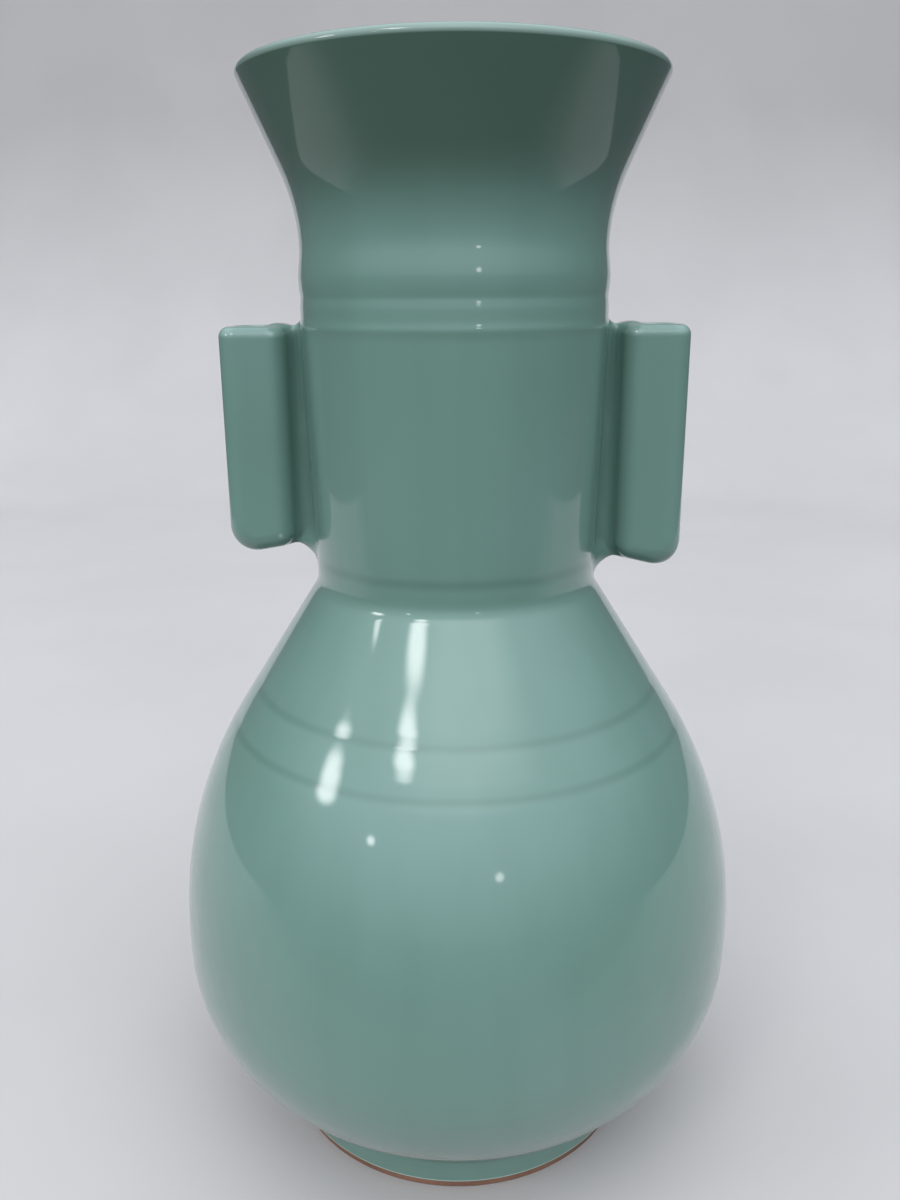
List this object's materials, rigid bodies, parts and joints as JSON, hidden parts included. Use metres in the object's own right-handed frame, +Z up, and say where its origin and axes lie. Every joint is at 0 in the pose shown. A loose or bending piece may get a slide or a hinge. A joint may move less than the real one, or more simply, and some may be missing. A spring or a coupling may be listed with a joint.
{
  "type": "porcelain vase",
  "caption": "Pear-bodied celadon vase with a flared mouth, a straight neck between pierced tubular ears, and a turned foot ring.",
  "frame": {"origin": "middle of the foot, on the surface that the vase stands on", "axes": "+Z up the vase's axis, towards the mouth; +X towards the right ear; -Y towards the viewer"},
  "size_m": [0.1654, 0.1654, 0.3],
  "materials": {
    "celadon_glaze": "gloss",
    "biscuit": "matte",
    "bare_foot": "matte"
  },
  "bodies": {
    "root": {"foot_ring": "bare_foot", "lower_body": "biscuit", "upper_body": "biscuit", "neck": "biscuit", "mouth": "biscuit", "left_ear": "biscuit", "right_ear": "biscuit", "outer_glaze": "celadon_glaze", "inner_glaze": "celadon_glaze", "base_glaze": "celadon_glaze"}
  },
  "joints": []
}
